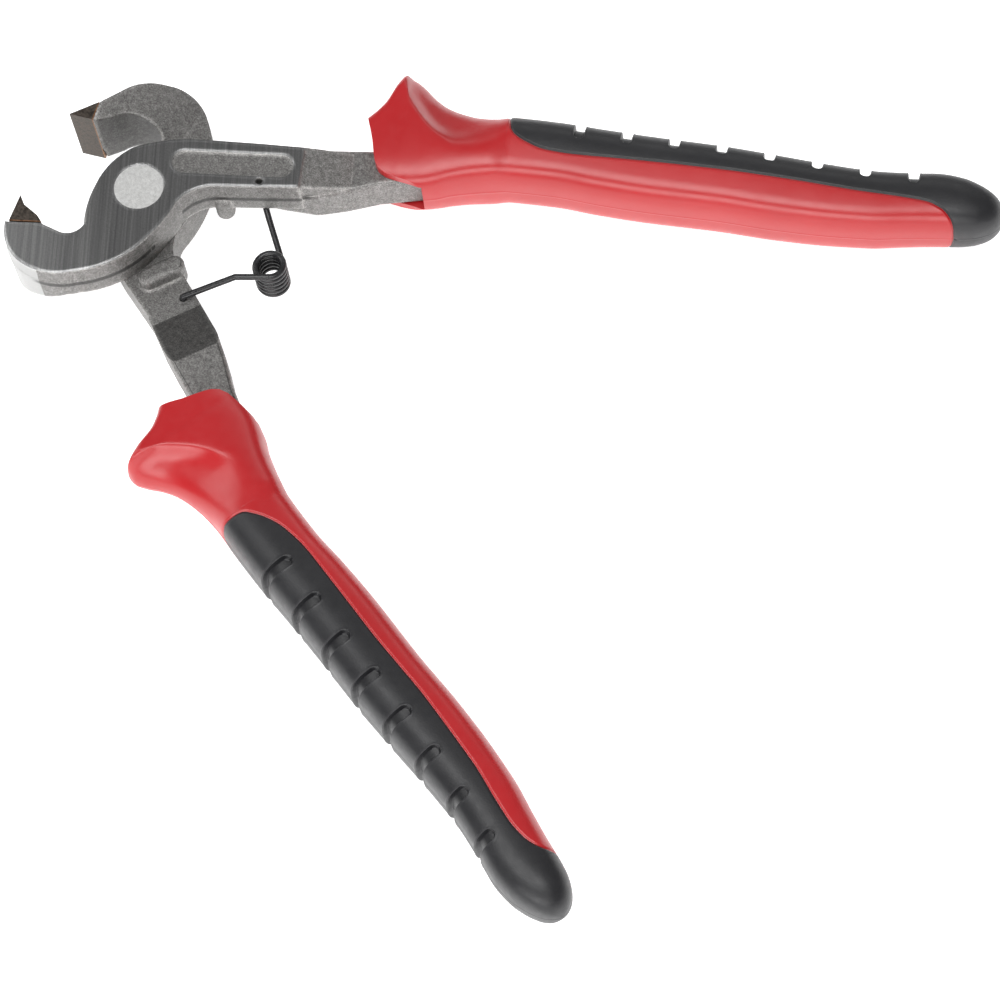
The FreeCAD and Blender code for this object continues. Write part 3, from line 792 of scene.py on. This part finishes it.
def dress_metal():
    # The two steels also differ in painted light and shade: the slope is painted lighter on the front lever
    # and darker on the rear, and only the rear has its hollow painted darker.
    front_steel = steel_material("forged_steel_front", THICKNESS * MM, True, 1.35, 1)
    rear_steel = steel_material("forged_steel_rear", 0.0, False, 0.50, -1)
    carbide = plain_metal(
        "carbide_dark", ((0.045, 0.038, 0.032), (0.12, 0.10, 0.085)), (0.35, 0.6), 1500, 0.9)
    braze = plain_metal(
        "braze_copper", ((0.17, 0.085, 0.045), (0.30, 0.17, 0.10)), (0.35, 0.55), 1500, 0.9)
    bright = plain_metal(
        "rivet_bright", ((0.50, 0.50, 0.49), (0.62, 0.62, 0.61)), (0.40, 0.55), 1400, 0.35, 0.35)
    wire = plain_metal(
        "spring_black", ((0.010, 0.010, 0.011), (0.022, 0.022, 0.024)), (0.22, 0.34), 900, 0.0, 0.1)
    finishes = {
        "lever_front": front_steel, "lever_rear": rear_steel,
        "carbide_front": carbide, "carbide_rear": carbide,
        "braze_front": braze, "braze_rear": braze,
        "pivot_rivet": bright,
        "spring_coil": wire, "spring_rear_leg": wire,
    }
    for node, mat in finishes.items():
        dress(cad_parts[node], mat)


# ---------------------------------------------------------------------------------- stage

FLOOR_HALF = 3.0         # metres
FLOOR_DROP = 0.0002
# Name, place, what it points at, size, and power in watts.
LIGHTS = [
    ("key", (0.08, -0.20, 1.0), (0.06, 0, 0), (0.8, 0.5), 6.2),
    ("near", (0.45, -0.95, 0.48), (0.05, 0, 0), (1.0, 0.5), 7.0),
    ("side", (-0.85, -0.25, 0.60), (0.03, 0, 0), (0.5, 0.7), 2.5),
    ("far", (-0.30, 0.95, 0.75), (0.06, 0, 0), (0.9, 0.3), 1.5),
]
WORLD_LIGHT = 0.25
# How the tool is turned, tilted back and leant over as seen, and where its pivot stands before the eye.
VIEW_TURN = math.radians(-30.33)
VIEW_TILT = math.radians(24.36)
VIEW_LEAN = math.radians(-3.99)
VIEW_PLACE = (-75.8 * MM, 65.7 * MM, -700 * MM)
SENSOR = 36.0
LENS = 120.1


def floor():
    mesh = bpy.data.meshes.new("floor")
    corners = [(-1, -1), (1, -1), (1, 1), (-1, 1)]
    mesh.from_pydata([(x * FLOOR_HALF, y * FLOOR_HALF, 0) for x, y in corners], [], [(0, 1, 2, 3)])
    obj = bpy.data.objects.new("floor", mesh)
    bpy.context.scene.collection.objects.link(obj)
    obj.location.z = -FLOOR_DROP
    mat, net, shader = new_material("floor_white")
    white = net.ramp(net.noise(3), [(0.3, even(0.90)), (0.7, even(0.91))])
    net.link(white, shader.inputs["Base Color"])
    set_numbers(shader, Roughness=0.9, Emission_Strength=0.80, Emission_Color=(1, 1, 1, 1))
    mesh.materials.append(mat)


def area_light(name, place, target, size, power):
    data = bpy.data.lights.new(name, "AREA")
    data.shape = "RECTANGLE"
    data.size, data.size_y = size
    data.energy = power
    obj = bpy.data.objects.new(name, data)
    bpy.context.scene.collection.objects.link(obj)
    obj.location = place
    obj.rotation_euler = (Vector(target) - Vector(place)).to_track_quat("-Z", "Y").to_euler()


def camera():
    """Seen from 700 mm, with the tool turned about the top of its pivot."""
    turn = (
        Matrix.Rotation(VIEW_LEAN, 4, "Y") @ Matrix.Rotation(-VIEW_TILT, 4, "X")
        @ Matrix.Rotation(VIEW_TURN, 4, "Z")
    )
    pivot_top = Matrix.Translation((0, 0, THICKNESS * MM))
    world_to_eye = Matrix.Translation(VIEW_PLACE) @ turn @ pivot_top.inverted()
    data = bpy.data.cameras.new("view")
    data.sensor_width = SENSOR
    data.lens = LENS
    obj = bpy.data.objects.new("view", data)
    obj.matrix_world = world_to_eye.inverted()
    bpy.context.scene.collection.objects.link(obj)
    bpy.context.scene.camera = obj


def surroundings():
    world = bpy.data.worlds.new("studio")
    bpy.context.scene.world = world
    world.use_nodes = True
    background = world.node_tree.nodes["Background"]
    background.inputs[0].default_value = (1, 1, 1, 1)
    background.inputs[1].default_value = WORLD_LIGHT
    bpy.context.scene.view_settings.view_transform = "Standard"


dress_grips(make_grips())
dress_metal()
floor()
camera()
for light in LIGHTS:
    area_light(*light)
surroundings()
